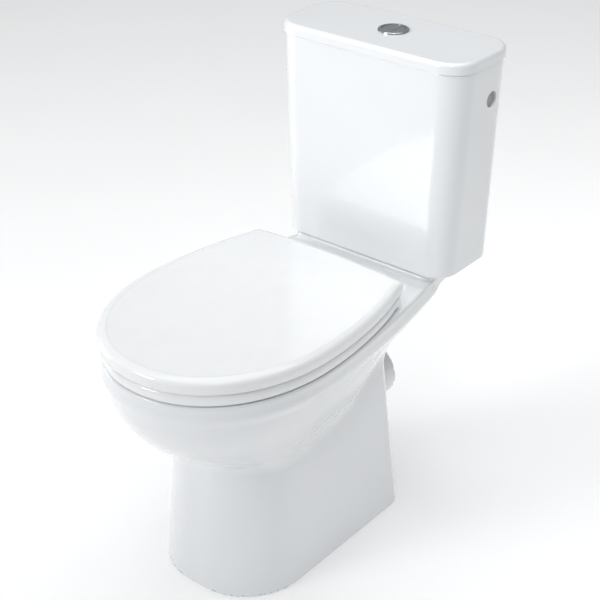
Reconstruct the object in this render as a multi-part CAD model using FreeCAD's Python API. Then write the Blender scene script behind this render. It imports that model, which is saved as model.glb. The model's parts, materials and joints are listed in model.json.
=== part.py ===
import FreeCAD, Part
import math
import os

# Close coupled toilet: a china pan on the floor, a cistern bolted on the pan's rear
# platform, a dual flush valve, a side entry fill valve and a hinged seat with a cover.
#
# Millimetres. X to the user's left-right, +Y to the wall, +Z up.
# Origin: on the floor, midway between the two floor screw holes in the foot.

Vector = FreeCAD.Vector

# ---- Driving dimensions --------------------------------------------------------------
WALL_Y = 222.0                # finished wall plane, behind the cistern lid
TOTAL_HEIGHT = 775.0          # floor to lid top
OVAL_POWER = 2.1              # superellipse power of the round front outlines

# Pan rim and deck
RIM_TOP = 405.5
RIM_HALF_WIDTH = 177.0
RIM_FRONT = WALL_Y - 669.0
RIM_WIDEST = WALL_Y - 450.0
DECK_REAR = WALL_Y - 12.0
DECK_REAR_INSET = 70.2        # how much narrower each side is at the deck's rear
DECK_TAPER_POWER = 1.6
DECK_UNDERSIDE = 380.0
DECK_CORNER = 30.0

# Belly under the rim
BELLY_BOTTOM = 232.0
BELLY_SIDE_INSET = 72.0
BELLY_FRONT_INSET = 122.0
BELLY_LEVELS = (382.0, 362.0, 340.0, 315.0, 290.0, 268.0, 249.0, 232.0)

# Bowl opening and inside
BOWL_HALF_WIDTH = 122.0
BOWL_FRONT = WALL_Y - 607.0
BOWL_REAR = WALL_Y - 312.0
BOWL_WIDEST = WALL_Y - 455.0
LIP_THICKNESS = 11.0
LIP_BOTTOM = 364.0
# each level: height, half width, distance from wall of front, widest line and rear
BOWL_LEVELS = (
    (394.0, 163.0, 655.0, 452.0, 302.0),
    (362.0, 155.0, 649.0, 452.0, 312.0),
    (335.0, 142.0, 634.0, 452.0, 332.0),
    (305.0, 121.0, 605.0, 452.0, 356.0),
    (272.0, 94.0, 565.0, 452.0, 384.0),
    (240.0, 66.0, 516.0, 450.0, 401.0),
    (212.0, 48.0, 490.0, 449.0, 410.0),
    (180.0, 39.0, 484.0, 448.0, 412.0),
    (146.0, 34.0, 479.0, 447.0, 414.0),
)
SUMP_WALL = 9.0

# Trapway, along the centre plane: distance from the wall and height of each bend
TRAP_RADIUS = 37.0
TRAP_PATH = ((446.0, 146.0), (398.0, 146.0), (312.0, 273.0), (268.0, 273.0), (234.0, 180.0))
OUTLET_HEIGHT = 180.0
OUTLET_END = WALL_Y - 107.0
OUTLET_RADIUS = 51.0
OUTLET_SHOULDER = 52.0        # radius of the pipe ahead of the spigot
SPIGOT_LENGTH = 60.0
OUTLET_BORE = 42.0

# Foot
FOOT_HALF_WIDTH = 120.0
FOOT_FRONT = WALL_Y - 562.0
FOOT_REAR = WALL_Y - 182.0
FOOT_FRONT_CORNER = 106.0
FOOT_REAR_CORNER = 22.0
FOOT_DRAFT = 0.077
FOOT_REAR_DRAFT = 0.063
FOOT_TOP = 345.0
FOOT_WALL = 11.0
FLOOR_SCREW_X = 80.0
FLOOR_SCREW_HOLE = 4.5
LUG_HEIGHT = 16.0

# Cistern platform
PLATFORM_TOP = 415.0
PLATFORM_FRONT = WALL_Y - 155.0
CISTERN_CENTRE = WALL_Y - 76.0
INLET_RECESS_RADIUS = 50.0
INLET_RECESS_FLOOR = 396.0
INLET_RADIUS = 35.0
COUPLING_BOLT_X = 78.0
COUPLING_HOLE = 5.5

# Cistern tank
TANK_BOTTOM = 415.5
TANK_TOP = 757.0
TANK_WALL = 9.0
TANK_FLOOR = 15.0
TANK_BOTTOM_OUTLINE = (161.9, WALL_Y - 153.8, WALL_Y - 3.8, 41.0)
TANK_TOP_OUTLINE = (176.4, WALL_Y - 153.7, WALL_Y - 2.5, 46.0)
SIDE_HOLE_RADIUS = 13.0
SIDE_HOLE_Y = WALL_Y - 60.4
SIDE_HOLE_Z = 698.9

# Cistern lid
LID_HALF_WIDTH = 178.9
LID_FRONT = WALL_Y - 156.2
LID_CORNER = 48.0
LID_PLATE = 9.0

# Flush button
BEZEL_RADIUS = 25.0
BEZEL_HEIGHT = 3.0
SLEEVE_RADIUS = 20.0
BUTTON_RADIUS = 19.0
BUTTON_BOTTOM = 773.5
BUTTON_THICKNESS = 4.0
BUTTON_GAP = 0.8
BUTTON_SPLIT_X = 5.0
SHELF_Z = 757.0
FULL_ROD = (-6.0, CISTERN_CENTRE)
HALF_ROD = (12.0, CISTERN_CENTRE)
ROD_RADIUS = 2.4
ROD_BOTTOM = 672.5

# Seat
SEAT_HALF_WIDTH = 178.0
SEAT_FRONT = WALL_Y - 671.0
SEAT_REAR = WALL_Y - 233.0
SEAT_REAR_BOW = 6.5           # how far the rear edge bows out at its middle
SEAT_REAR_INSET = 35.0
SEAT_CORNER = 14.0
RING_BOTTOM = 407.5
RING_TOP = 425.0
COVER_BOTTOM = 426.8
COVER_TOP = 450.0
HINGE_Y = WALL_Y - 208.0
HINGE_Z = 418.0
HINGE_X = 77.5
HINGE_BARREL = 8.5
HINGE_PIN = 4.0
HINGE_CLEARANCE = 0.05
HINGE_BOLT = 3.0
DECK_THICKNESS = 16.0


# ---- Shape helpers -------------------------------------------------------------------
def from_wall(distance):
    return WALL_Y - distance


def cylinder(radius, height, x, y, z, direction=Vector(0, 0, 1)):
    return Part.makeCylinder(radius, height, Vector(x, y, z), direction)


def tube(outer, inner, height, x, y, z, direction=Vector(0, 0, 1)):
    return cylinder(outer, height, x, y, z, direction).cut(
        cylinder(inner, height, x, y, z, direction))


def box(low, high):
    size = [b - a for a, b in zip(low, high)]
    return Part.makeBox(size[0], size[1], size[2], Vector(*low))


def smooth_wire(points):
    curve = Part.BSplineCurve()
    curve.interpolate(Points=points, PeriodicFlag=True)
    return Part.Wire([curve.toShape()])


def loft(wires, ruled=False):
    return Part.makeLoft(wires, True, ruled)


def prism(wire, height):
    return Part.Face(wire).extrude(Vector(0, 0, height))


def union(shapes):
    return shapes[0].multiFuse(shapes[1:]) if len(shapes) > 1 else shapes[0]


def mirrored_pair(build):
    return [build(-1), build(1)]


def hexagon(width_across_flats, height, x, y, z):
    radius = width_across_flats / math.sqrt(3.0)
    corners = [Vector(x + radius * math.cos(math.radians(60 * i)),
                      y + radius * math.sin(math.radians(60 * i)), z) for i in range(7)]
    return prism(Part.makePolygon(corners), height)


def rounded_rectangle(half_width, front, rear, front_corner, rear_corner, z):
    """Outline with straight sides and a different corner radius at front and rear."""
    def corner(cx, cy, radius, start):
        middle, end = start + 45, start + 90
        on_arc = [Vector(cx + radius * math.cos(math.radians(a)),
                         cy + radius * math.sin(math.radians(a)), z)
                  for a in (start, middle, end)]
        return on_arc
    corners = [
        corner(half_width - rear_corner, rear - rear_corner, rear_corner, 0),
        corner(rear_corner - half_width, rear - rear_corner, rear_corner, 90),
        corner(front_corner - half_width, front + front_corner, front_corner, 180),
        corner(half_width - front_corner, front + front_corner, front_corner, 270),
    ]
    edges = []
    for index, points in enumerate(corners):
        following = corners[(index + 1) % 4][0]
        edges.append(Part.Arc(*points).toShape())
        edges.append(Part.LineSegment(points[2], following).toShape())
    return Part.Wire(edges)


def front_points(half_width, front, widest, z, steps=8):
    """Right half of the round front, from the centre line to the widest place."""
    points = []
    for step in range(steps + 1):
        angle = math.radians(90.0 * step / steps)
        x = half_width * math.sin(angle) ** (2 / OVAL_POWER)
        y = widest - (widest - front) * max(math.cos(angle), 0.0) ** (2 / OVAL_POWER)
        points.append(Vector(x, y, z))
    return points


def mirrored_wire(right):
    left = [Vector(-p.x, p.y, p.z) for p in reversed(right) if abs(p.x) > 1e-6]
    return smooth_wire(right + left)


def egg_wire(side, front, widest, rear, corner, z, bow=0.0, side_steps=7):
    """Round front, tapering sides given by side(y), and a rear edge with round corners."""
    right = front_points(side(widest), front, widest, z)
    straight_end = rear - corner
    for step in range(1, side_steps + 1):
        y = widest + (straight_end - widest) * step / side_steps
        right.append(Vector(side(y), y, z))
    centre_x = side(straight_end) - corner
    for angle in (30, 60, 90):
        turn = math.radians(angle)
        right.append(Vector(centre_x + corner * math.cos(turn),
                            straight_end + corner * math.sin(turn), z))
    right.append(Vector(centre_x / 2, rear + 0.75 * bow, z))
    right.append(Vector(0, rear + bow, z))
    return mirrored_wire(right)


def oval_wire(half_width, front, widest, rear, z):
    """Round front and round rear meeting at the widest place."""
    right = front_points(half_width, front, widest, z)
    for angle in range(15, 91, 15):
        turn = math.radians(angle)
        right.append(Vector(half_width * math.cos(turn) if angle < 90 else 0.0,
                            widest + (rear - widest) * math.sin(turn), z))
    return mirrored_wire(right)


# ---- Pan -----------------------------------------------------------------------------
def deck_half_width(y, inset=0.0):
    taper = max((y - RIM_WIDEST) / (DECK_REAR - RIM_WIDEST), 0.0)
    return RIM_HALF_WIDTH - inset - DECK_REAR_INSET * taper ** DECK_TAPER_POWER


def deck_wire(z, inset=0.0):
    return egg_wire(lambda y: deck_half_width(y, inset), RIM_FRONT + inset, RIM_WIDEST,
                    DECK_REAR - inset, DECK_CORNER, z)


def belly_wire(z, wall=0.0):
    """One level of the belly, which pulls in below the rim and rises toward the rear."""
    depth = (398.0 - z) / (398.0 - BELLY_BOTTOM)
    rise = max(350.0 - z, 0.0) / (350.0 - BELLY_BOTTOM)
    rear = from_wall(105.0 + 200.0 * rise ** 1.6) - wall

    def side(y):
        blend = min(max((y - from_wall(330.0)) / 100.0, 0.0), 1.0)
        tuck = 0.22 * max(378.0 - z, 0.0) * blend * blend * (3 - 2 * blend)
        return deck_half_width(y, BELLY_SIDE_INSET * depth ** 1.5 + tuck + wall)
    front = RIM_FRONT + BELLY_FRONT_INSET * depth ** 2.5 + wall
    widest = min(RIM_WIDEST, rear - 60.0)
    return egg_wire(side, front, widest, rear, 34.0, z)


def foot_wire(z, wall=0.0):
    half_width = FOOT_HALF_WIDTH - FOOT_DRAFT * z - wall
    front = FOOT_FRONT + FOOT_DRAFT * z + wall
    rear = FOOT_REAR - FOOT_REAR_DRAFT * z - wall
    front_corner = FOOT_FRONT_CORNER - FOOT_DRAFT * z - wall
    return rounded_rectangle(half_width, front, rear, front_corner,
                             FOOT_REAR_CORNER - wall, z)


def bowl_space(extra=0.0, levels=BOWL_LEVELS):
    """The water side of the bowl and sump, or its outer skin when extra is the wall."""
    wires = [oval_wire(w + extra, from_wall(f) - extra, from_wall(m), from_wall(r) + extra, z)
             for z, w, f, m, r in levels]
    return loft(wires)


def trapway(radius):
    """Round passage from the sump, up over the weir and down to the outlet."""
    points = [Vector(0, from_wall(d), z) for d, z in TRAP_PATH]
    shapes = [Part.makeSphere(radius, point) for point in points]
    for start, end in zip(points, points[1:]):
        run = end - start
        shapes.append(Part.makeCylinder(radius, run.Length, start, run))
    return union(shapes)


def outlet_pipe(radius, end):
    start = from_wall(TRAP_PATH[-1][0])
    return cylinder(radius, end - start, 0, start, OUTLET_HEIGHT, Vector(0, 1, 0))


def outlet_skin():
    """Outside of the waste pipe: a shoulder and then the spigot for the connector."""
    return outlet_pipe(OUTLET_SHOULDER, OUTLET_END - SPIGOT_LENGTH).fuse(
        outlet_pipe(OUTLET_RADIUS, OUTLET_END))


def flush_duct(wall):
    """Flat passage from the cistern inlet forward into the hollow of the rim."""
    return box((-36 - wall, from_wall(318), 374 - wall),
               (36 + wall, CISTERN_CENTRE + 30, 397 + wall))


def rear_hollow():
    """Space under the deck, open to the rear, where the trapway and the nuts are reached."""
    lower = loft([rounded_rectangle(half, from_wall(335), from_wall(60), 12, 12, z)
                  for z, half in ((-1, 84), (306, 70))], ruled=True)
    upper = loft([rounded_rectangle(half, from_wall(front), from_wall(106), 12, 12, z)
                  for z, half, front in ((290, 68, 318), (RIM_TOP - DECK_THICKNESS, 112, 262))],
                 ruled=True)
    return lower.fuse(upper)


def pan():
    deck = prism(deck_wire(DECK_UNDERSIDE), RIM_TOP - DECK_UNDERSIDE)
    belly = loft([belly_wire(z) for z in BELLY_LEVELS])
    foot = loft([foot_wire(0), foot_wire(FOOT_TOP)], ruled=True)
    platform_inset = 3.0
    platform = prism(deck_wire(RIM_TOP - 6, platform_inset), PLATFORM_TOP - RIM_TOP + 6)
    platform = platform.common(prism(
        rounded_rectangle(RIM_HALF_WIDTH, PLATFORM_FRONT, WALL_Y, 60, 5, RIM_TOP - 6), 30))
    lugs = union(mirrored_pair(lambda side: box(
        (min(side * 64, side * 112), -22, 0), (max(side * 64, side * 112), 22, LUG_HEIGHT))))
    solid = union([belly, foot, deck, platform, outlet_skin()])

    foot_hollow = loft([foot_wire(-1, FOOT_WALL), foot_wire(222, FOOT_WALL)], ruled=True)
    skin = union([bowl_space(SUMP_WALL, BOWL_LEVELS[3:]), trapway(TRAP_RADIUS + SUMP_WALL),
                  outlet_skin()])
    hollow = foot_hollow.fuse(rear_hollow()).cut(skin).cut(flush_duct(8.0)).cut(lugs)
    solid = solid.cut(hollow)

    lip = prism(oval_wire(BOWL_HALF_WIDTH + LIP_THICKNESS, BOWL_FRONT - LIP_THICKNESS,
                          BOWL_WIDEST, BOWL_REAR + LIP_THICKNESS, LIP_BOTTOM),
                RIM_TOP - LIP_BOTTOM)
    opening = prism(oval_wire(BOWL_HALF_WIDTH, BOWL_FRONT, BOWL_WIDEST, BOWL_REAR,
                              LIP_BOTTOM - 2), 60)
    water_side = bowl_space().cut(lip)
    cuts = [water_side, opening, trapway(TRAP_RADIUS), outlet_pipe(OUTLET_BORE, OUTLET_END),
            flush_duct(0.0)]
    cuts.append(cylinder(INLET_RADIUS, 40, 0, CISTERN_CENTRE, 380))
    cuts.append(cylinder(INLET_RECESS_RADIUS, 30, 0, CISTERN_CENTRE, INLET_RECESS_FLOOR))
    for side in (-1, 1):
        cuts.append(cylinder(COUPLING_HOLE, 80, side * COUPLING_BOLT_X, CISTERN_CENTRE, 350))
        cuts.append(cylinder(6.5, 40, side * HINGE_X, HINGE_Y, 370))
        cuts.append(cylinder(FLOOR_SCREW_HOLE, 30, side * FLOOR_SCREW_X, 0, -5))
    for cut in cuts:
        solid = solid.cut(cut)
    return solid


# ---- Cistern -------------------------------------------------------------------------
def tank_wire(fraction, z, wall=0.0):
    """Outline of the tank at a fraction of the way from its bottom to its top outline."""
    low, high = TANK_BOTTOM_OUTLINE, TANK_TOP_OUTLINE
    half, front, rear, corner = [a + (b - a) * fraction for a, b in zip(low, high)]
    return rounded_rectangle(half - wall, front + wall, rear - wall,
                             corner - wall, corner - wall, z)


def cistern_tank():
    body = loft([tank_wire(0, TANK_BOTTOM), tank_wire(1, TANK_TOP)], ruled=True)
    bottom_edges = [e for e in body.Edges if e.BoundBox.ZMax < TANK_BOTTOM + 0.1]
    body = body.makeFillet(3.0, bottom_edges)
    top_edges = [e for e in body.Edges if e.BoundBox.ZMin > TANK_TOP - 0.1]
    body = body.makeFillet(2.0, top_edges)
    floor_fraction = TANK_FLOOR / (TANK_TOP - TANK_BOTTOM)
    space = loft([tank_wire(floor_fraction, TANK_BOTTOM + TANK_FLOOR, TANK_WALL),
                  tank_wire(1, TANK_TOP + 0.01, TANK_WALL)], ruled=True)
    floor_edges = [e for e in space.Edges if e.BoundBox.ZMax < TANK_BOTTOM + TANK_FLOOR + 0.1]
    body = body.cut(space.makeFillet(8.0, floor_edges))
    body = body.cut(cylinder(SIDE_HOLE_RADIUS, 400, -200, SIDE_HOLE_Y, SIDE_HOLE_Z,
                             Vector(1, 0, 0)))
    body = body.cut(cylinder(31.5, 40, 0, CISTERN_CENTRE, TANK_BOTTOM - 10))
    for side in (-1, 1):
        body = body.cut(cylinder(COUPLING_HOLE, 40, side * COUPLING_BOLT_X, CISTERN_CENTRE,
                                 TANK_BOTTOM - 10))
    return body


def lid_wire(z, inset=0.0):
    return rounded_rectangle(LID_HALF_WIDTH - inset, LID_FRONT + inset, WALL_Y - inset,
                             LID_CORNER - inset, LID_CORNER - inset, z)


def cistern_lid():
    body = prism(lid_wire(TANK_TOP), TOTAL_HEIGHT - TANK_TOP)
    top_edges = [e for e in body.Edges if e.BoundBox.ZMin > TOTAL_HEIGHT - 0.1]
    body = body.makeFillet(7.0, top_edges)
    lower_edges = [e for e in body.Edges if e.BoundBox.ZMax < TANK_TOP + 0.1]
    body = body.makeFillet(1.5, lower_edges)
    body = body.cut(prism(lid_wire(TANK_TOP - 1, 20), TOTAL_HEIGHT - LID_PLATE - TANK_TOP + 1))
    locating_rib = prism(lid_wire(745, 13.5), 15).cut(prism(lid_wire(744, 20), 17))
    body = body.fuse(locating_rib)
    return body.cut(cylinder(SLEEVE_RADIUS + 1.0, 60, 0, CISTERN_CENTRE, 740))


# ---- Flush buttons -------------------------------------------------------------------
def button_bezel():
    ring = cylinder(BEZEL_RADIUS, BEZEL_HEIGHT, 0, CISTERN_CENTRE, TOTAL_HEIGHT)
    top = [e for e in ring.Edges if e.BoundBox.ZMin > TOTAL_HEIGHT + BEZEL_HEIGHT - 0.1]
    ring = ring.makeFillet(2.4, top)
    sleeve = cylinder(SLEEVE_RADIUS, 25, 0, CISTERN_CENTRE, TOTAL_HEIGHT - 25)
    body = ring.fuse(sleeve)
    bore_depth = TOTAL_HEIGHT + BEZEL_HEIGHT - SHELF_Z
    body = body.cut(cylinder(BUTTON_RADIUS, bore_depth + 1, 0, CISTERN_CENTRE, SHELF_Z))
    for x, y in (FULL_ROD, HALF_ROD):
        body = body.cut(cylinder(ROD_RADIUS + 0.05, 20, x, y, SHELF_Z - 15))
    return body


def button_nut():
    return tube(29, SLEEVE_RADIUS, 9, 0, CISTERN_CENTRE, TOTAL_HEIGHT - LID_PLATE - 9)


def button_half(side):
    """One of the two push plates; side -1 is the full flush, 1 the half flush."""
    plate = cylinder(BUTTON_RADIUS - 0.3, BUTTON_THICKNESS, 0, CISTERN_CENTRE, BUTTON_BOTTOM)
    if side < 0:
        keep = box((-40, 0, 700), (BUTTON_SPLIT_X - BUTTON_GAP / 2, 300, 800))
    else:
        keep = box((BUTTON_SPLIT_X + BUTTON_GAP / 2, 0, 700), (40, 300, 800))
    plate = plate.common(keep)
    top = [e for e in plate.Edges if e.BoundBox.ZMin > BUTTON_BOTTOM + BUTTON_THICKNESS - 0.1]
    return plate.makeFillet(0.8, top)


def push_rod(place):
    return cylinder(ROD_RADIUS, BUTTON_BOTTOM - ROD_BOTTOM, place[0], place[1], ROD_BOTTOM)


def button_spring(place):
    """Coil round the push rod, between the bezel's shelf and the push plate."""
    wire_radius = 0.35
    coil_radius = 3.4
    height = BUTTON_BOTTOM - SHELF_Z - 2 * wire_radius
    helix = Part.makeHelix(height / 5.5, height, coil_radius)
    section = Part.Wire([Part.makeCircle(wire_radius, Vector(coil_radius, 0, 0), Vector(0, 1, 0))])
    spring = Part.Wire(helix).makePipeShell([section], True, True)
    spring.translate(Vector(place[0], place[1], SHELF_Z + wire_radius))
    return spring


# ---- Flush valve ---------------------------------------------------------------------
VALVE_FLOOR = TANK_BOTTOM + TANK_FLOOR
VALVE_HEAD = 640.0


def flush_valve_body():
    """Threaded outlet, seat and an open cage of three legs under a guide head."""
    tail = cylinder(30, 48, 0, CISTERN_CENTRE, VALVE_FLOOR - 48)
    flange = cylinder(42, 5, 0, CISTERN_CENTRE, VALVE_FLOOR)
    seat = cylinder(30, 9, 0, CISTERN_CENTRE, VALVE_FLOOR)
    body = union([tail, flange, seat])
    body = body.cut(cylinder(25, 80, 0, CISTERN_CENTRE, VALVE_FLOOR - 60))
    legs = []
    for angle in (90, 210, 330):
        leg = box((36, -6, VALVE_FLOOR), (41, 6, VALVE_HEAD + 8))
        leg.rotate(Vector(0, 0, 0), Vector(0, 0, 1), angle)
        leg.translate(Vector(0, CISTERN_CENTRE, 0))
        legs.append(leg)
    head = tube(41, 17, 8, 0, CISTERN_CENTRE, VALVE_HEAD)
    slider_slot = box((16, CISTERN_CENTRE - 7, VALVE_HEAD - 1),
                      (25, CISTERN_CENTRE + 7, VALVE_HEAD + 9))
    return union([body, head.cut(slider_slot)] + legs)


def flush_valve_lift():
    """Overflow tube with the seal plate at its foot; it lifts to flush."""
    pipe = cylinder(14, 206, 0, CISTERN_CENTRE, 444)
    plate = cylinder(31, 4, 0, CISTERN_CENTRE, 444)
    keeper = cylinder(17, 6, 0, CISTERN_CENTRE, 438)
    body = union([pipe, plate, keeper])
    return body.cut(cylinder(11.5, 240, 0, CISTERN_CENTRE, 430))


def flush_valve_seal():
    return tube(30, 17, 4.5, 0, CISTERN_CENTRE, 439.5)


def half_flush_slider():
    """Slide that the half flush rod pushes down to close the valve early."""
    blade = box((20, CISTERN_CENTRE - 6, 590), (24, CISTERN_CENTRE + 6, ROD_BOTTOM - 0.5))
    stem = box((20, CISTERN_CENTRE - 3, 520), (23, CISTERN_CENTRE + 3, 592))
    foot = box((8, CISTERN_CENTRE - 6, ROD_BOTTOM - 4), (24, CISTERN_CENTRE + 6,
                                                         ROD_BOTTOM - 0.5))
    return union([blade, stem, foot])


def flush_valve_backnut():
    nut = cylinder(38, 11, 0, CISTERN_CENTRE, TANK_BOTTOM - 11)
    ribs = []
    for index in range(8):
        rib = box((36, -3, TANK_BOTTOM - 11), (40.5, 3, TANK_BOTTOM))
        rib.rotate(Vector(0, 0, 0), Vector(0, 0, 1), 45 * index)
        rib.translate(Vector(0, CISTERN_CENTRE, 0))
        ribs.append(rib)
    return union([nut] + ribs).cut(cylinder(30, 30, 0, CISTERN_CENTRE, TANK_BOTTOM - 20))


# ---- Close coupling ------------------------------------------------------------------
def doughnut_washer():
    return tube(49, 41.5, TANK_BOTTOM - INLET_RECESS_FLOOR, 0, CISTERN_CENTRE,
                INLET_RECESS_FLOOR)


def coupling_bolt(side):
    x = side * COUPLING_BOLT_X
    head = cylinder(9, 4, x, CISTERN_CENTRE, VALVE_FLOOR + 3)
    shank = cylinder(4, VALVE_FLOOR + 3 - 352, x, CISTERN_CENTRE, 352)
    return head.fuse(shank)


def coupling_rubber_washer(side):
    return tube(12, 4, 3, side * COUPLING_BOLT_X, CISTERN_CENTRE, VALVE_FLOOR)


def coupling_steel_washer(side):
    return tube(12, 4, 2, side * COUPLING_BOLT_X, CISTERN_CENTRE, DECK_UNDERSIDE - 2)


def wing_nut(x, y, top, bore, size):
    """Nut with two rounded wings, hanging under its washer."""
    hub = cylinder(size, size, x, y, top - size)
    wings = []
    for side in (-1, 1):
        wing = cylinder(size * 0.75, 2.4, x + side * size * 1.35, y - 1.2, top - size * 0.9,
                        Vector(0, 1, 0))
        bridge = box((min(x, x + side * size * 1.4), y - 1.2, top - size),
                     (max(x, x + side * size * 1.4), y + 1.2, top - size * 0.45))
        wings += [wing, bridge]
    nut = union([hub] + wings)
    nut = nut.common(box((x - 50, y - 50, top - 40), (x + 50, y + 50, top)))
    return nut.cut(cylinder(bore, 60, x, y, top - 40))


# ---- Fill valve ----------------------------------------------------------------------
VALVE_Y = SIDE_HOLE_Y
TAIL_END_X = -206.0
TAIL_RADIUS = 10.4
TAIL_LENGTH = 20.0
SHANK_RADIUS = 10.0
WALL_INNER_X = -164.5
WALL_OUTER_X = -174.0
COLLAR_X = WALL_INNER_X + 3.2
DROP_TUBE_X = -141.0
FLOAT_HINGE = (-112.0, 712.0)
FLOAT_X = -78.0


def fill_valve_body():
    """Threaded tail through the tank's left side, valve block and a forked arm bracket."""
    tail = cylinder(TAIL_RADIUS, TAIL_LENGTH, TAIL_END_X, VALVE_Y, SIDE_HOLE_Z,
                    Vector(1, 0, 0))
    shank = cylinder(SHANK_RADIUS, COLLAR_X + 1 - TAIL_END_X, TAIL_END_X, VALVE_Y, SIDE_HOLE_Z,
                     Vector(1, 0, 0))
    collar = cylinder(17, 4, COLLAR_X, VALVE_Y, SIDE_HOLE_Z, Vector(1, 0, 0))
    block = cylinder(13, 40, COLLAR_X + 1, VALVE_Y, SIDE_HOLE_Z, Vector(1, 0, 0))
    outlet = cylinder(8, 26, DROP_TUBE_X, VALVE_Y, SIDE_HOLE_Z - 26)
    body = union([tail, shank, collar, block, outlet])
    for side in (-1, 1):
        centre = VALVE_Y + side * 9
        ear = box((-128, centre - 2, SIDE_HOLE_Z), (-108, centre + 2, FLOAT_HINGE[1] + 5))
        body = body.fuse(ear)
    body = body.cut(cylinder(6, 60, TAIL_END_X - 1, VALVE_Y, SIDE_HOLE_Z, Vector(1, 0, 0)))
    body = body.cut(cylinder(2.5, 40, FLOAT_HINGE[0], VALVE_Y - 20, FLOAT_HINGE[1],
                             Vector(0, 1, 0)))
    return body


def float_arm_pin():
    return cylinder(2.5, 24, FLOAT_HINGE[0], VALVE_Y - 12, FLOAT_HINGE[1], Vector(0, 1, 0))


def drop_tube():
    """Silencing tube that leads the incoming water to the bottom of the tank."""
    return tube(10, 8, 200, DROP_TUBE_X, VALVE_Y, SIDE_HOLE_Z - 218)


def fill_valve_washer():
    return tube(15, SHANK_RADIUS, COLLAR_X - WALL_INNER_X, WALL_INNER_X, VALVE_Y, SIDE_HOLE_Z,
                Vector(1, 0, 0))


def fill_valve_backnut():
    nut = hexagon(30, 8, 0, 0, 0)
    nut = nut.cut(cylinder(SHANK_RADIUS, 20, 0, 0, -5))
    nut.rotate(Vector(0, 0, 0), Vector(0, 1, 0), 90)
    nut.translate(Vector(WALL_OUTER_X - 9.0, VALVE_Y, SIDE_HOLE_Z))
    return nut


def side_hole_plug():
    """Moulded plug that closes the spare valve hole from inside the tank."""
    flange = cylinder(16.5, 2.8, 160.6, VALVE_Y, SIDE_HOLE_Z, Vector(1, 0, 0))
    stopper = cylinder(SIDE_HOLE_RADIUS, 8.8, 161.4, VALVE_Y, SIDE_HOLE_Z, Vector(1, 0, 0))
    return flange.fuse(stopper)


def float_arm():
    """Lever from the valve's pivot to the float, with a drop rod at its end."""
    hinge_x, hinge_z = FLOAT_HINGE
    barrel = cylinder(5.5, 12, hinge_x, VALVE_Y - 6, hinge_z, Vector(0, 1, 0))
    bar = box((hinge_x, VALVE_Y - 4, hinge_z - 3), (FLOAT_X + 8, VALVE_Y + 4, hinge_z + 3))
    rod = cylinder(2.5, 62, FLOAT_X, VALVE_Y, hinge_z - 60)
    arm = union([barrel, bar, rod])
    return arm.cut(cylinder(2.5 + HINGE_CLEARANCE, 30, hinge_x, VALVE_Y - 15, hinge_z,
                            Vector(0, 1, 0)))


def float_cup():
    body = cylinder(21, 56, FLOAT_X, VALVE_Y, FLOAT_HINGE[1] - 72)
    body = body.makeFillet(5, [e for e in body.Edges if e.BoundBox.ZLength < 0.1])
    return body.cut(cylinder(2.5, 90, FLOAT_X, VALVE_Y, FLOAT_HINGE[1] - 60))


# ---- Seat ----------------------------------------------------------------------------
def seat_wire(z, inset=0.0):
    def side(y):
        taper = max((y - RIM_WIDEST) / (SEAT_REAR - RIM_WIDEST), 0.0)
        return SEAT_HALF_WIDTH - inset - SEAT_REAR_INSET * taper * taper
    return egg_wire(side, SEAT_FRONT + inset, RIM_WIDEST, SEAT_REAR - inset,
                    max(SEAT_CORNER - inset / 2, 6.0), z, SEAT_REAR_BOW)


def hinge_arm(x, width, bottom, top):
    """Arm from the seat's rear edge to a barrel on the hinge axis."""
    low_x, high_x = x - width / 2, x + width / 2
    barrel = cylinder(HINGE_BARREL, width, low_x, HINGE_Y, HINGE_Z, Vector(1, 0, 0))
    arm = box((low_x, SEAT_REAR - 8, bottom), (high_x, HINGE_Y, top))
    heel = box((low_x, SEAT_REAR + SEAT_REAR_BOW + 1.5, min(bottom, HINGE_Z)),
               (high_x, HINGE_Y, top))
    hole = cylinder(HINGE_PIN + HINGE_CLEARANCE, width + 2, low_x - 1, HINGE_Y, HINGE_Z,
                    Vector(1, 0, 0))
    return union([barrel, arm, heel]), hole


def with_hinge_arms(body, distance, width, bottom, top):
    for side in (-1, 1):
        arm, hole = hinge_arm(side * distance, width, bottom, top)
        body = body.fuse(arm).cut(hole)
    return body


def seat_ring():
    levels = ((RING_BOTTOM, 4.0), (RING_BOTTOM + 3, 1.5), (RING_TOP - 4, 1.0), (RING_TOP, 4.0))
    body = loft([seat_wire(z, inset) for z, inset in levels])
    opening = loft([oval_wire(w, from_wall(605) - g, from_wall(455), from_wall(322) + g, z)
                    for z, w, g in ((RING_BOTTOM - 1, 104, 0), (RING_TOP - 4, 107, 3),
                                    (RING_TOP + 1, 115, 11))])
    return with_hinge_arms(body.cut(opening), HINGE_X + 11.5, 9, RING_BOTTOM + 4, RING_TOP - 1)


def seat_cover():
    levels = ((COVER_BOTTOM, 1.2), (COVER_BOTTOM + 1.7, 0.0), (COVER_TOP - 15, -2.0),
              (COVER_TOP - 10, -3.0), (COVER_TOP - 5, -1.6), (COVER_TOP - 2, 1.6),
              (COVER_TOP - 0.4, 6.5), (COVER_TOP, 13.0))
    body = loft([seat_wire(z, inset) for z, inset in levels])
    hollow = loft([seat_wire(z, inset) for z, inset in
                   ((COVER_BOTTOM - 1, 9.0), (COVER_TOP - 12, 10.0), (COVER_TOP - 7, 16.0))])
    body = body.cut(hollow)
    return with_hinge_arms(body, HINGE_X - 11.5, 9, COVER_BOTTOM + 1, COVER_TOP - 20)


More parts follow.
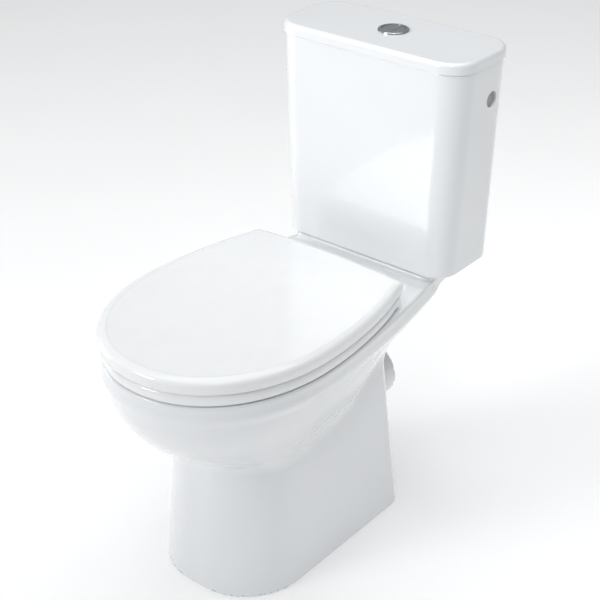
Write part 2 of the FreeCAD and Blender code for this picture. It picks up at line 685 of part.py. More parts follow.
def hinge_post(side):
    """Foot plate on the deck and an ear that holds the hinge pin."""
    x = side * HINGE_X
    plate = cylinder(16, 3, x, HINGE_Y, RIM_TOP)
    ear = box((x - 6, HINGE_Y - 8, RIM_TOP), (x + 6, HINGE_Y + 8, HINGE_Z))
    barrel = cylinder(HINGE_BARREL, 12, x - 6, HINGE_Y, HINGE_Z, Vector(1, 0, 0))
    post = union([plate, ear, barrel])
    return post.cut(cylinder(HINGE_PIN, 20, x - 10, HINGE_Y, HINGE_Z, Vector(1, 0, 0)))


def hinge_pin(side):
    start = side * HINGE_X - 18
    return cylinder(HINGE_PIN, 36, start, HINGE_Y, HINGE_Z, Vector(1, 0, 0))


def hinge_bolt(side):
    bottom = 362.0
    return cylinder(HINGE_BOLT, RIM_TOP - bottom, side * HINGE_X, HINGE_Y, bottom)


def hinge_washer(side):
    top = RIM_TOP - DECK_THICKNESS
    return tube(13, HINGE_BOLT, 3, side * HINGE_X, HINGE_Y, top - 3)


def hinge_wing_nut(side):
    return wing_nut(side * HINGE_X, HINGE_Y, RIM_TOP - DECK_THICKNESS - 3, HINGE_BOLT, 8.0)


def ring_buffers():
    places = [(side * 140, from_wall(440)) for side in (-1, 1)]
    places += [(side * 98, from_wall(590)) for side in (-1, 1)]
    return [cylinder(8, RING_BOTTOM - RIM_TOP, x, y, RIM_TOP) for x, y in places]


def cover_buffers():
    places = [(side * 140, from_wall(470)) for side in (-1, 1)]
    places += [(side * 70, from_wall(628)) for side in (-1, 1)]
    return [cylinder(6, COVER_TOP - 7 - RING_TOP, x, y, RING_TOP) for x, y in places]


# ---- Build ---------------------------------------------------------------------------
def export(name, shapes):
    shapes = shapes if isinstance(shapes, list) else [shapes]
    solids = [solid for shape in shapes for solid in shape.Solids]
    shape = solids[0] if len(solids) == 1 else Part.makeCompound(solids)
    print(name, "solids", len(solids), "valid", shape.isValid(),
          "litres", round(shape.Volume / 1e6, 4))
    shape.exportStep("parts/%s.step" % name)


def main():
    os.makedirs("parts", exist_ok=True)
    export("pan", pan())
    export("cistern_tank", cistern_tank())
    export("cistern_lid", cistern_lid())
    export("button_bezel", button_bezel())
    export("button_nut", button_nut())
    export("full_flush_button", button_half(-1))
    export("half_flush_button", button_half(1))
    export("full_push_rod", push_rod(FULL_ROD))
    export("half_push_rod", push_rod(HALF_ROD))
    export("full_button_spring", button_spring(FULL_ROD))
    export("half_button_spring", button_spring(HALF_ROD))
    export("flush_valve_body", flush_valve_body())
    export("flush_valve_lift", flush_valve_lift())
    export("flush_valve_seal", flush_valve_seal())
    export("half_flush_slider", half_flush_slider())
    export("flush_valve_backnut", flush_valve_backnut())
    export("doughnut_washer", doughnut_washer())
    export("coupling_bolts", mirrored_pair(coupling_bolt))
    export("coupling_rubber_washers", mirrored_pair(coupling_rubber_washer))
    export("coupling_steel_washers", mirrored_pair(coupling_steel_washer))
    export("coupling_wing_nuts", mirrored_pair(lambda side: wing_nut(
        side * COUPLING_BOLT_X, CISTERN_CENTRE, DECK_UNDERSIDE - 2, 4.0, 9.0)))
    export("fill_valve_body", fill_valve_body())
    export("fill_valve_drop_tube", drop_tube())
    export("fill_valve_washer", fill_valve_washer())
    export("fill_valve_backnut", fill_valve_backnut())
    export("side_hole_plug", side_hole_plug())
    export("float_arm_pin", float_arm_pin())
    export("float_arm", float_arm())
    export("float_cup", float_cup())
    export("seat_ring", seat_ring())
    export("seat_cover", seat_cover())
    export("hinge_posts", mirrored_pair(hinge_post))
    export("hinge_pins", mirrored_pair(hinge_pin))
    export("hinge_bolts", mirrored_pair(hinge_bolt))
    export("hinge_washers", mirrored_pair(hinge_washer))
    export("hinge_wing_nuts", mirrored_pair(hinge_wing_nut))
    export("ring_buffers", ring_buffers())
    export("cover_buffers", cover_buffers())


main()
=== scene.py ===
import json
import math

import bpy
import numpy as np
from mathutils import Matrix, Vector


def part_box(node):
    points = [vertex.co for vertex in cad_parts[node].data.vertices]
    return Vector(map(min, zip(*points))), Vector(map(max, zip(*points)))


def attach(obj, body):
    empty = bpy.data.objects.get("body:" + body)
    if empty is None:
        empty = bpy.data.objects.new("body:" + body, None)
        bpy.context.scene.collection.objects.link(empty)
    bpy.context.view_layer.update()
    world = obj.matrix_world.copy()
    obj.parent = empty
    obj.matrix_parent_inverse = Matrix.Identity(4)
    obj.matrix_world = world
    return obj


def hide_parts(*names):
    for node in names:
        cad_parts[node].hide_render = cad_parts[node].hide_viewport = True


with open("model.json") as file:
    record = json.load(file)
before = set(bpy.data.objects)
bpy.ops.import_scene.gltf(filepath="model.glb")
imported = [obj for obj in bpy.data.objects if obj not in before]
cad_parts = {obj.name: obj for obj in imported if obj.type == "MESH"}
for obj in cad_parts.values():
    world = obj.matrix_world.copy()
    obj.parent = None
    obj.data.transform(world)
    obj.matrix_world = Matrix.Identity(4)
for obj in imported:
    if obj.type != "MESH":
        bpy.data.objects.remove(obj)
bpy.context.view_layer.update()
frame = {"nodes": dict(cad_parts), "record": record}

MM = 0.001

# ---- Places taken from the frame (millimetres) ---------------------------------------
WALL_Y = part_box("cistern_lid")[1].y / MM
RIM_HALF_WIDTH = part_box("pan")[1].x / MM
RIM_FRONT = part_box("pan")[0].y / MM
DECK_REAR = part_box("pan")[1].y / MM
PLATFORM_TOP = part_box("pan")[1].z / MM
RIM_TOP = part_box("ring_buffers")[0].z / MM

# ---- Shape of the pan (millimetres) --------------------------------------------------
OVAL_POWER = 2.1
RIM_WIDEST = WALL_Y - 450.0
DECK_REAR_INSET = 70.2
DECK_TAPER_POWER = 1.6
DECK_UNDERSIDE = 380.0
DECK_CORNER = 30.0
BELLY_BOTTOM = 232.0
BELLY_SIDE_INSET = 72.0
BELLY_FRONT_INSET = 122.0
PLATFORM_FRONT = WALL_Y - 155.0
CISTERN_CENTRE = WALL_Y - 76.0
BOWL_HALF_WIDTH = 122.0
BOWL_FRONT = WALL_Y - 607.0
BOWL_REAR = WALL_Y - 312.0
BOWL_WIDEST = WALL_Y - 455.0
LIP_THICKNESS = 11.0
LIP_BOTTOM = 364.0
FOOT_HALF_WIDTH = 120.0
FOOT_FRONT = WALL_Y - 562.0
FOOT_REAR = WALL_Y - 182.0
FOOT_FRONT_CORNER = 106.0
FOOT_REAR_CORNER = 22.0
FOOT_DRAFT = 0.077
FOOT_REAR_DRAFT = 0.063
FOOT_WALL = 11.0
OUTLET_HEIGHT = 180.0
OUTLET_END = WALL_Y - 107.0
OUTLET_RADIUS = 51.0
OUTLET_BORE = 42.0
TRAP_RADIUS = 37.0
CHINA_WALL = 9.0
TRAP_PATH = ((446.0, 146.0), (398.0, 146.0), (312.0, 273.0), (268.0, 273.0), (234.0, 180.0))
# height, half width, then the front's and the rear's distance from the wall
BOWL_LEVELS = (
    (146.0, 34.0, 479.0, 414.0),
    (180.0, 39.0, 484.0, 412.0),
    (212.0, 48.0, 490.0, 410.0),
    (240.0, 66.0, 516.0, 401.0),
    (272.0, 94.0, 565.0, 384.0),
    (305.0, 121.0, 605.0, 356.0),
    (335.0, 142.0, 634.0, 332.0),
    (362.0, 155.0, 649.0, 312.0),
    (394.0, 163.0, 655.0, 302.0),
)
OUTLET_SHOULDER = 52.0
SPIGOT_START = OUTLET_END - 60.0
HINGE_X = 77.5
HINGE_Y = WALL_Y - 208.0
HINGE_HOLE_RADIUS = 6.5
COUPLING_BOLT_X = 78.0
COUPLING_HOLE_RADIUS = 5.5
FLOOR_SCREW_X = 80.0
FLOOR_SCREW_RADIUS = 4.5
INLET_RADIUS = 35.0           # flush water's way into the pan
INLET_SEAT_RADIUS = 50.0      # recess that the doughnut washer sits in
CREASE_RADIUS = 13.0          # where the belly meets the foot
RIM_RADIUS = 3.2              # top edge of the rim
COARSENESS = 1.0
GRID_STEP = 4.9 * COARSENESS
NORMAL_REACH = 2.0            # the shading follows the surface over this distance
# lowest height and step of each band: foot, belly with its crease, deck and rim, top
HEIGHT_BANDS = ((-9.0, 6.0), (214.0, 4.2), (374.0, 2.3), (420.0, 4.6))


# ---- Distance field helpers ----------------------------------------------------------
def round_union(a, b, radius):
    """Union of two solids with a concave fillet of that radius between them."""
    inside = np.maximum(radius, np.minimum(a, b))
    return inside - np.hypot(np.maximum(radius - a, 0), np.maximum(radius - b, 0))


def round_common(a, b, radius):
    """Intersection of two solids with the edge between them rounded."""
    outside = np.minimum(-radius, np.maximum(a, b))
    return outside + np.hypot(np.maximum(radius + a, 0), np.maximum(radius + b, 0))


def smooth_step(low, high, value):
    t = np.clip((value - low) / (high - low), 0, 1)
    return t * t * (3 - 2 * t)


def egg_distance(x, y, side, slope, widest_half, front, widest, rear, corner):
    """Distance to an outline with an oval front, tapering sides and round rear corners."""
    across = np.maximum(x, 1e-3) / widest_half
    along = np.maximum(widest - y, 1e-3) / (widest - front)
    level = np.maximum((across ** OVAL_POWER + along ** OVAL_POWER) ** (1 / OVAL_POWER), 0.05)
    steep = level ** (1 - OVAL_POWER)
    gradient = np.hypot(steep * across ** (OVAL_POWER - 1) / widest_half,
                        steep * along ** (OVAL_POWER - 1) / (widest - front))
    front_distance = (level - 1) / gradient
    qx = (x - side) / np.sqrt(1 + slope * slope) + corner
    qy = y - rear + corner
    rear_distance = (np.minimum(np.maximum(qx, qy), 0)
                     + np.hypot(np.maximum(qx, 0), np.maximum(qy, 0)) - corner)
    return np.where(y < widest, front_distance, rear_distance)


def oval_distance(x, y, half, front, widest, rear):
    """Distance to an outline with an oval front and an elliptical rear."""
    power = np.where(y < widest, OVAL_POWER, 2.0)
    length = np.where(y < widest, widest - front, rear - widest)
    across = np.maximum(x, 1e-3) / half
    along = np.maximum(np.abs(widest - y), 1e-3) / length
    level = np.maximum((across ** power + along ** power) ** (1 / power), 0.05)
    steep = level ** (1 - power)
    gradient = np.hypot(steep * across ** (power - 1) / half,
                        steep * along ** (power - 1) / length)
    return (level - 1) / gradient


def box_distance(x, y, z, low, high, radius=0.0):
    parts = [np.maximum(a - v, v - b) + radius for v, a, b in zip((x, y, z), low, high)]
    outside = np.sqrt(sum(np.maximum(p, 0) ** 2 for p in parts))
    return outside + np.minimum(np.maximum(np.maximum(parts[0], parts[1]), parts[2]), 0) - radius


def levelled(outline, x, y, z):
    """Turns an outline that changes with height into a distance in space."""
    slope = (outline(x, y, z + 1) - outline(x, y, z - 1)) / 2
    return outline(x, y, z) / np.sqrt(1 + slope * slope)


def hermite(z, knots, values):
    """Smooth curve through a short table, flat beyond its ends."""
    knots = np.asarray(knots, float)
    values = np.asarray(values, float)
    tangents = np.gradient(values, knots)
    z = np.clip(z, knots[0], knots[-1])
    i = np.clip(np.searchsorted(knots, z, side="right") - 1, 0, len(knots) - 2)
    span = knots[i + 1] - knots[i]
    t = (z - knots[i]) / span
    a, b = values[i], values[i + 1]
    ta, tb = tangents[i] * span, tangents[i + 1] * span
    return ((2 * t ** 3 - 3 * t ** 2 + 1) * a + (t ** 3 - 2 * t ** 2 + t) * ta
            + (3 * t ** 2 - 2 * t ** 3) * b + (t ** 3 - t ** 2) * tb)


# ---- The pan as a distance field -----------------------------------------------------
def deck_side(y):
    taper = np.clip((y - RIM_WIDEST) / (DECK_REAR - RIM_WIDEST), 0, None)
    side = RIM_HALF_WIDTH - DECK_REAR_INSET * taper ** DECK_TAPER_POWER
    slope = -(DECK_REAR_INSET * DECK_TAPER_POWER * taper ** (DECK_TAPER_POWER - 1)
              / (DECK_REAR - RIM_WIDEST))
    return side, slope


def deck_outline(x, y):
    side, slope = deck_side(y)
    return egg_distance(x, y, side, slope, RIM_HALF_WIDTH, RIM_FRONT, RIM_WIDEST,
                        DECK_REAR, DECK_CORNER)


def belly_inset(y, z):
    """How far the belly's sides stand in from the deck's."""
    depth = np.clip((398.0 - z) / (398.0 - BELLY_BOTTOM), 0, 1.15)
    tuck = 0.22 * np.maximum(378.0 - z, 0) * smooth_step(WALL_Y - 330, WALL_Y - 230, y)
    return BELLY_SIDE_INSET * depth ** 1.5 + tuck


def belly_outline(x, y, z):
    depth = np.clip((398.0 - z) / (398.0 - BELLY_BOTTOM), 0, 1.15)
    rise = np.clip((350.0 - z) / (350.0 - BELLY_BOTTOM), 0, 1.15)
    rear = WALL_Y - 105.0 - 200.0 * rise ** 1.6
    side, slope = deck_side(y)
    front = RIM_FRONT + BELLY_FRONT_INSET * depth ** 2.5
    return egg_distance(x, y, side - belly_inset(y, z), slope,
                        RIM_HALF_WIDTH - BELLY_SIDE_INSET * depth ** 1.5, front,
                        RIM_WIDEST, rear, 34.0)


def belly(x, y, z):
    body = levelled(belly_outline, x, y, z)
    body = round_common(body, z - RIM_TOP, RIM_RADIUS)
    return np.maximum(body, 224.0 - z)


def foot_outline(x, y, z, wall=0.0):
    half = FOOT_HALF_WIDTH - FOOT_DRAFT * z - wall
    front = FOOT_FRONT + FOOT_DRAFT * z + wall
    rear = FOOT_REAR - FOOT_REAR_DRAFT * z - wall
    middle = (front + rear) / 2
    corner = np.where(y < middle, FOOT_FRONT_CORNER - FOOT_DRAFT * z - wall,
                      FOOT_REAR_CORNER - wall)
    qx = x - half + corner
    qy = np.abs(y - middle) - (rear - front) / 2 + corner
    return (np.minimum(np.maximum(qx, qy), 0)
            + np.hypot(np.maximum(qx, 0), np.maximum(qy, 0)) - corner)


def foot(x, y, z):
    body = np.maximum(foot_outline(x, y, z), z - 345.0)
    return round_common(body, -z, 1.5)


def bowl_outline(x, y, z):
    levels = list(zip(*BOWL_LEVELS))
    half = hermite(z, levels[0], levels[1])
    front = WALL_Y - hermite(z, levels[0], levels[2])
    rear = WALL_Y - hermite(z, levels[0], levels[3])
    return oval_distance(x, y, half, front, WALL_Y - 452.0, rear)


def trapway(x, y, z, radius):
    body = None
    points = [(WALL_Y - distance, height) for distance, height in TRAP_PATH]
    for (y0, z0), (y1, z1) in zip(points, points[1:]):
        dy, dz = y1 - y0, z1 - z0
        t = np.clip(((y - y0) * dy + (z - z0) * dz) / (dy * dy + dz * dz), 0, 1)
        leg = np.sqrt(x * x + (y - y0 - t * dy) ** 2 + (z - z0 - t * dz) ** 2) - radius
        body = leg if body is None else np.minimum(body, leg)
    return body


def outlet(x, y, z, radius, end):
    pipe = np.hypot(x, z - OUTLET_HEIGHT) - radius
    start = WALL_Y - TRAP_PATH[-1][0]
    return np.maximum(pipe, np.maximum(start - y, y - end))


def outlet_skin(x, y, z):
    spigot = round_common(outlet(x, y, z, OUTLET_RADIUS, OUTLET_END), y - OUTLET_END, 2.0)
    shoulder = outlet(x, y, z, OUTLET_SHOULDER, SPIGOT_START)
    return np.minimum(spigot, round_common(shoulder, y - SPIGOT_START, 1.0))


def platform(x, y, z):
    """Raised seat for the cistern at the rear of the deck."""
    front = PLATFORM_FRONT - y
    plan = round_common(deck_outline(x, y) + 3.0, front, 16.0)
    return round_common(plan, np.maximum(z - PLATFORM_TOP, 396.0 - z), 2.5)


def outer_body(x, y, z):
    fade = 4.0 * (1 - smooth_step(WALL_Y - 330, WALL_Y - 235, y))
    slab = round_common(deck_outline(x, y) + fade, z - RIM_TOP, RIM_RADIUS)
    slab = round_common(slab, DECK_UNDERSIDE - z, 7.0)
    under = 14.0 * (1 - smooth_step(382, 402, z)) + 0.4
    body = round_union(belly(x, y, z), foot(x, y, z), CREASE_RADIUS)
    body = round_union(body, slab, under)
    body = round_union(body, platform(x, y, z), 2.5)
    return np.minimum(body, outlet_skin(x, y, z))


def rear_hollow(x, y, z):
    low_half = 84.0 - 14.0 * np.clip(z / 306.0, 0, 1)
    lower = box_distance(x, y, z, (-low_half, WALL_Y - 335, -20),
                         (low_half, WALL_Y - 60, 306), 12.0)
    up = np.clip((z - 290.0) / 98.5, 0, 1)
    high_half = 68.0 + 44.0 * up
    front = WALL_Y - 318.0 + 56.0 * up
    upper = box_distance(x, y, z, (-high_half, front, 290), (high_half, WALL_Y - 106, RIM_TOP - 16),
                         10.0)
    wall_inside = x - deck_side(y)[0] + belly_inset(y, z) + CHINA_WALL
    return np.minimum(lower, round_common(upper, wall_inside, 6.0))


def pan_field(x, y, z):
    """Negative inside the china. x may have either sign, since the pan is symmetric."""
    x = np.abs(x)
    bowl = levelled(bowl_outline, x, y, z)
    skin = np.maximum(bowl - CHINA_WALL, np.maximum(z - 310, 140 - z))
    skin = np.minimum(skin, trapway(x, y, z, TRAP_RADIUS + CHINA_WALL))
    skin = np.minimum(skin, outlet_skin(x, y, z))
    duct_shell = box_distance(x, y, z, (-44, WALL_Y - 318, 366), (44, CISTERN_CENTRE + 38, 405),
                              6.0)
    lugs = box_distance(x, y, z, (64, -22, -1), (112, 22, 16), 2.0)
    foot_hollow = np.maximum(foot_outline(x, y, z, FOOT_WALL), z - 222)
    hollow = np.minimum(foot_hollow, rear_hollow(x, y, z))
    hollow = round_common(hollow, -skin, 3.0)
    hollow = np.maximum(hollow, -np.minimum(duct_shell, lugs))
    solid = round_common(outer_body(x, y, z), -hollow, 2.5)

    lip_outer = oval_distance(x, y, BOWL_HALF_WIDTH + LIP_THICKNESS, BOWL_FRONT - LIP_THICKNESS,
                              BOWL_WIDEST, BOWL_REAR + LIP_THICKNESS)
    opening = oval_distance(x, y, BOWL_HALF_WIDTH, BOWL_FRONT, BOWL_WIDEST, BOWL_REAR)
    water = np.maximum(bowl, np.maximum(z - 394, 146 - z))
    water = np.maximum(water, -np.maximum(lip_outer, LIP_BOTTOM - z))
    water = np.minimum(water, np.maximum(opening, LIP_BOTTOM - 2 - z))
    water = np.minimum(water, trapway(x, y, z, TRAP_RADIUS))
    water = np.minimum(water, outlet(x, y, z, OUTLET_BORE, OUTLET_END + 9))
    water = np.minimum(water, box_distance(x, y, z, (-36, WALL_Y - 318, 374),
                                           (36, CISTERN_CENTRE + 30, 397), 4.0))
    solid = round_common(solid, -water, 4.5)
    inlet = np.hypot(x, y - CISTERN_CENTRE)
    holes = np.maximum(inlet - INLET_RADIUS, 380.0 - z)
    holes = np.minimum(holes, np.maximum(inlet - INLET_SEAT_RADIUS, 396.0 - z))
    floor_screw = np.hypot(x - FLOOR_SCREW_X, y) - FLOOR_SCREW_RADIUS
    holes = np.minimum(holes, np.maximum(floor_screw, z - 20))
    coupling = np.hypot(x - COUPLING_BOLT_X, y - CISTERN_CENTRE) - COUPLING_HOLE_RADIUS
    hinge = np.hypot(x - HINGE_X, y - HINGE_Y) - HINGE_HOLE_RADIUS
    holes = np.minimum(holes, np.maximum(np.minimum(coupling, hinge), 370.0 - z))
    return np.maximum(solid, -holes)


# ---- Field to mesh -------------------------------------------------------------------
def surface_net(field, axes):
    """Quads around the zero level of a sampled field, with one vertex in each cell crossed."""
    inside = field < 0
    shape = np.array(field.shape) - 1
    total = np.zeros(tuple(shape) + (3,), np.float32)
    count = np.zeros(tuple(shape), np.int16)
    steps = np.eye(3, dtype=int)

    def window(array, offset):
        return array[tuple(slice(o, o + n) for o, n in zip(offset, shape))]
    for axis in range(3):
        others = [a for a in range(3) if a != axis]
        for shift in ((0, 0), (0, 1), (1, 0), (1, 1)):
            start = shift[0] * steps[others[0]] + shift[1] * steps[others[1]]
            a, b = window(field, start), window(field, start + steps[axis])
            crossed = (a < 0) != (b < 0)
            t = np.where(crossed, a / np.where(crossed, a - b, 1), 0)
            for k in range(3):
                total[..., k] += np.where(crossed, start[k] + (t if k == axis else 0), 0)
            count += crossed
    cells = np.argwhere(count > 0)
    at = tuple(cells.T)
    offsets = total[at] / count[at][:, None]
    index = np.full(tuple(shape), -1, np.int64)
    index[at] = np.arange(len(cells))
    points = np.stack([np.interp(cells[:, k] + offsets[:, k], np.arange(len(axes[k])), axes[k])
                       for k in range(3)], axis=1)
    quads = []
    for axis in range(3):
        u, v = (axis + 1) % 3, (axis + 2) % 3
        low = [slice(1, -1)] * 3
        low[axis] = slice(0, -1)
        high = list(low)
        high[axis] = slice(1, None)
        start_in, end_in = inside[tuple(low)], inside[tuple(high)]
        for sign, mask in ((1, start_in & ~end_in), (-1, ~start_in & end_in)):
            edge = np.argwhere(mask) + (1 - steps[axis])
            corners = [edge - steps[u] - steps[v], edge - steps[v], edge, edge - steps[u]]
            ring = np.stack([index[tuple(c.T)] for c in corners], axis=1)
            quads.append(ring if sign > 0 else ring[:, ::-1])
    return points, np.concatenate(quads)


def field_gradient(function, points, step=0.4):
    gradient = np.empty_like(points)
    for k in range(3):
        shift = np.zeros(3)
        shift[k] = step
        ahead, behind = points + shift, points - shift
        gradient[:, k] = (function(*ahead.T) - function(*behind.T)) / (2 * step)
    return gradient


def relaxed(points, quads):
    """Each point moved half way to the mean of the points that share a quad edge with it."""
    total, count = np.zeros_like(points), np.zeros(len(points))
    for k in range(4):
        for other in (quads[:, k - 1], quads[:, k - 3]):
            np.add.at(total, quads[:, k], points[other])
            np.add.at(count, quads[:, k], 1)
    return 0.5 * points + 0.5 * total / count[:, None]


def mesh_from_field(name, function, low, high, step):
    """Smooth quad mesh of a field that is mirrored across X, in metres."""
    half = np.arange(0, high[0] + step, step)
    band_ends = [band[0] for band in HEIGHT_BANDS[1:]] + [high[2] + step]
    heights = np.concatenate([np.arange(start, end, layer * COARSENESS)
                              for (start, layer), end in zip(HEIGHT_BANDS, band_ends)])
    axes = [half, np.arange(low[1], high[1] + step, step), heights]
    grid = np.meshgrid(*axes, indexing="ij")
    sampled = function(*[g.ravel() for g in grid]).reshape(grid[0].shape)
    whole = np.concatenate([sampled[:0:-1], sampled], axis=0)
    axes[0] = np.concatenate([-half[:0:-1], half])
    points, quads = surface_net(whole, axes)
    for turn in range(4):
        if turn == 1:
            points = relaxed(points, quads)
        gradient = field_gradient(function, points)
        size = np.maximum((gradient ** 2).sum(1), 0.25)
        move = -(function(*points.T) / size)[:, None] * gradient
        length = np.linalg.norm(move, axis=1, keepdims=True)
        points = points + move * np.minimum(1, 0.6 * step / np.maximum(length, 1e-9))
    normals = field_gradient(function, points, NORMAL_REACH)
    normals /= np.maximum(np.linalg.norm(normals, axis=1, keepdims=True), 1e-9)
    mesh = bpy.data.meshes.new(name)
    mesh.from_pydata((points * MM).tolist(), [], quads.tolist())
    mesh.polygons.foreach_set("use_smooth", [True] * len(mesh.polygons))
    mesh.normals_split_custom_set_from_vertices(normals.tolist())
    mesh.update()
    piece = bpy.data.objects.new(name, mesh)
    bpy.context.scene.collection.objects.link(piece)
    return piece


# ---- Materials -----------------------------------------------------------------------
def material(name, roughness, metallic=0.0, coat=0.0, coat_roughness=0.03, ior=1.5):
    """A new material and its nodes: (material, tree, principled shader)."""
    made = bpy.data.materials.new(name)
    made.use_nodes = True
    shader = made.node_tree.nodes["Principled BSDF"]
    shader.inputs["Roughness"].default_value = roughness
    shader.inputs["Metallic"].default_value = metallic
    shader.inputs["Coat Weight"].default_value = coat
    shader.inputs["Coat Roughness"].default_value = coat_roughness
    shader.inputs["IOR"].default_value = ior
    return made, made.node_tree, shader


def noise(tree, scale, detail=3.0, roughness=0.5):
    place = tree.nodes.new("ShaderNodeTexCoord")
    texture = tree.nodes.new("ShaderNodeTexNoise")
    texture.inputs["Scale"].default_value = scale
    texture.inputs["Detail"].default_value = detail
    texture.inputs["Roughness"].default_value = roughness
    tree.links.new(place.outputs["Object"], texture.inputs["Vector"])
    return texture.outputs["Fac"]


def ramp(tree, source, low, high, first, last):
    """Maps a value through a two-stop ramp; first and last are colours or numbers."""
    node = tree.nodes.new("ShaderNodeValToRGB")
    node.color_ramp.elements[0].position = low
    node.color_ramp.elements[1].position = high
    for element, value in zip(node.color_ramp.elements, (first, last)):
        element.color = (*value, 1) if hasattr(value, "__len__") else (value, value, value, 1)
    tree.links.new(source, node.inputs["Fac"])
    return node.outputs["Color"]


def bump(tree, shader, height, strength, distance):
    node = tree.nodes.new("ShaderNodeBump")
    node.inputs["Strength"].default_value = strength
    node.inputs["Distance"].default_value = distance
    tree.links.new(height, node.inputs["Height"])
    tree.links.new(node.outputs["Normal"], shader.inputs["Normal"])


def glazed_china(name, bright, shade):
    """White vitreous china: soft tone changes in the body under a wavy clear glaze."""
    made, tree, shader = material(name, 0.24, coat=1.0, coat_roughness=0.09, ior=1.5)
    tone = ramp(tree, noise(tree, 6.0, 4.0), 0.35, 0.68, shade, bright)
    tree.links.new(tone, shader.inputs["Base Color"])
    tree.links.new(ramp(tree, noise(tree, 22.0, 3.0), 0.3, 0.7, 0.16, 0.24),
                   shader.inputs["Roughness"])
    bump(tree, shader, noise(tree, 34.0, 2.0), 0.05, 0.0006)
    return made


def moulded(name, first, last, roughness, grain, strength, coat=0.0):
    """Moulded plastic or rubber with a fine surface grain."""
    made, tree, shader = material(name, roughness, coat=coat)
    tone = ramp(tree, noise(tree, grain / 6, 3.0), 0.3, 0.7, first, last)
    tree.links.new(tone, shader.inputs["Base Color"])
    spread = ramp(tree, noise(tree, grain / 3, 2.0), 0.3, 0.7, roughness * 0.85, roughness * 1.15)
    tree.links.new(spread, shader.inputs["Roughness"])
    bump(tree, shader, noise(tree, grain, 2.0), strength, 0.0003)
    return made


def metal(name, first, last, roughness, scale):
    made, tree, shader = material(name, roughness, metallic=1.0)
    tone = ramp(tree, noise(tree, scale / 8, 3.0), 0.3, 0.7, first, last)
    tree.links.new(tone, shader.inputs["Base Color"])
    spread = ramp(tree, noise(tree, scale / 3, 4.0), 0.3, 0.7, roughness * 0.7, roughness * 1.3)
    tree.links.new(spread, shader.inputs["Roughness"])
    bump(tree, shader, noise(tree, scale, 3.0), 0.04, 0.0002)
    return made


MATERIALS = {
    "vitreous_china": glazed_china("china", (0.82, 0.835, 0.85), (0.8, 0.815, 0.83)),
    "seat_plastic": moulded("seat_white", (0.85, 0.86, 0.87), (0.87, 0.88, 0.89), 0.09, 160, 0.015),
    "chrome": metal("chrome_plate", (0.4, 0.42, 0.44), (0.48, 0.5, 0.52), 0.12, 300),
    "valve_plastic": moulded("valve_white", (0.72, 0.74, 0.73), (0.78, 0.79, 0.78), 0.42, 500,
                             0.12),
    "grey_plastic": moulded("valve_blue", (0.1, 0.16, 0.24), (0.12, 0.19, 0.28), 0.42, 500, 0.12),
    "rubber": moulded("black_rubber", (0.012, 0.012, 0.013), (0.02, 0.02, 0.021), 0.6, 600, 0.2),
    "steel": metal("zinc_steel", (0.5, 0.5, 0.49), (0.62, 0.61, 0.58), 0.3, 500),
    # the plug's mid grey is painted shade: it stands in for the shaded inside of the cistern seen
    # through the side hole
    "plug": moulded("plug_painted_shade_grey", (0.33, 0.34, 0.35), (0.37, 0.38, 0.39), 0.45, 500, 0.12),
    "brass": metal("brass_pin", (0.55, 0.4, 0.16), (0.66, 0.5, 0.22), 0.28, 500),
}


def dress(piece, slot):
    piece.data.materials.clear()
    piece.data.materials.append(MATERIALS[slot])


# ---- Pieces --------------------------------------------------------------------------
for entry in frame["record"]["subparts"]:
    node = frame["nodes"][entry["node"]]
    chosen = MATERIALS[entry["material_slot"]]
    for place in node.material_slots:
        place.material = chosen
# the side hole's plug gets the mid grey plug material, which is painted shade standing in for the
# shaded inside of the cistern behind the hole
frame["nodes"]["side_hole_plug"].material_slots[0].material = MATERIALS["plug"]

pan_low, pan_high = [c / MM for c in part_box("pan")[0]], [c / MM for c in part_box("pan")[1]]
pan = mesh_from_field("pan_china", pan_field, [c - 9 for c in pan_low],
                      [c + 9 for c in pan_high], GRID_STEP)
dress(pan, "vitreous_china")
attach(pan, "base")
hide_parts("pan")


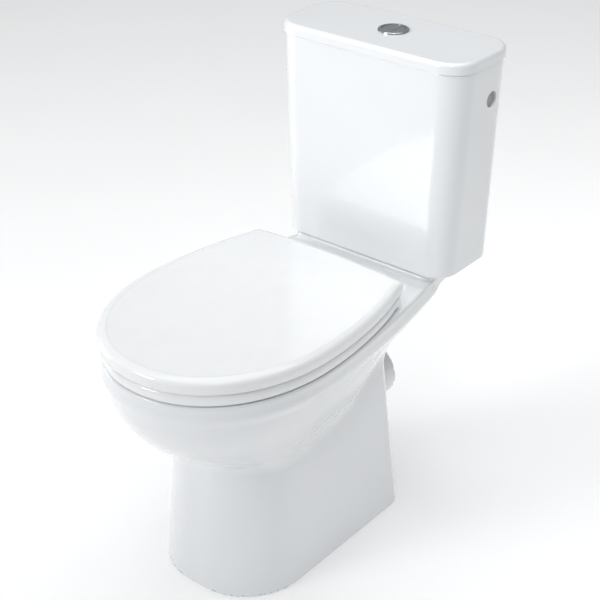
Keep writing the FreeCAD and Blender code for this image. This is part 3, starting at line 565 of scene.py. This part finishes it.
# ---- Stage, light and camera ---------------------------------------------------------
def stage_floor():
    made, tree, shader = material("studio_floor", 0.9)
    tone = ramp(tree, noise(tree, 3.0), 0.3, 0.7, (0.95, 0.95, 0.95), (0.97, 0.97, 0.97))
    tree.links.new(tone, shader.inputs["Base Color"])
    shader.inputs["Emission Color"].default_value = (1, 1, 1, 1)
    shader.inputs["Emission Strength"].default_value = 0.19
    mesh = bpy.data.meshes.new("floor")
    reach = 20.0
    mesh.from_pydata([(-reach, -reach, 0), (reach, -reach, 0), (reach, reach, 0),
                      (-reach, reach, 0)],
                     [], [(0, 1, 2, 3)])
    mesh.materials.append(made)
    floor = bpy.data.objects.new("floor", mesh)
    bpy.context.scene.collection.objects.link(floor)


def area_light(name, place, target, size, power, spread=180.0):
    data = bpy.data.lights.new(name, "AREA")
    data.shape = "RECTANGLE"
    data.size, data.size_y = size
    data.energy = power
    data.spread = math.radians(spread)
    light = bpy.data.objects.new(name, data)
    light.location = place
    aim = Vector(target) - Vector(place)
    light.rotation_euler = aim.to_track_quat("-Z", "Y").to_euler()
    bpy.context.scene.collection.objects.link(light)


def studio():
    world = bpy.data.worlds.new("studio")
    world.use_nodes = True
    back = world.node_tree.nodes["Background"]
    back.inputs["Color"].default_value = (0.965, 0.985, 1.0, 1)
    back.inputs["Strength"].default_value = 0.44
    bpy.context.scene.world = world
    area_light("key", (-1.3, -2.7, 2.1), (0.0, 0.1, 0.8), (1.5, 1.3), 3.3, 32)
    area_light("left", (-2.4, -0.9, 0.6), (0.0, -0.2, 0.3), (1.0, 1.4), 9)
    area_light("top", (0.0, 0.0, 3.2), (0.0, 0.0, 0.0), (3.0, 3.0), 43)
    area_light("corner", (1.6, -2.0, 3.8), (0.1, 0.1, 0.75), (0.7, 0.7), 1.0, 60)
    bpy.context.scene.view_settings.view_transform = "Standard"


def camera():
    azimuth, elevation, roll = (math.radians(a) for a in (38.99, 27.36, 0.09))
    forward = Vector((-math.sin(azimuth) * math.cos(elevation),
                      math.cos(azimuth) * math.cos(elevation), -math.sin(elevation)))
    right = Vector((math.cos(azimuth), math.sin(azimuth), 0))
    up = right.cross(forward)
    right, up = (right * math.cos(roll) + up * math.sin(roll),
                 up * math.cos(roll) - right * math.sin(roll))
    data = bpy.data.cameras.new("view")
    data.sensor_width = 36.0
    data.lens = 86.45
    data.shift_x = -0.0017
    data.shift_y = -0.084
    view = bpy.data.objects.new("view", data)
    turn = Matrix((right, up, -forward)).transposed().to_4x4()
    view.matrix_world = Matrix.Translation((1.233, WALL_Y * MM - 1.8258, 1.4973)) @ turn
    bpy.context.scene.collection.objects.link(view)
    bpy.context.scene.camera = view


stage_floor()
studio()
camera()
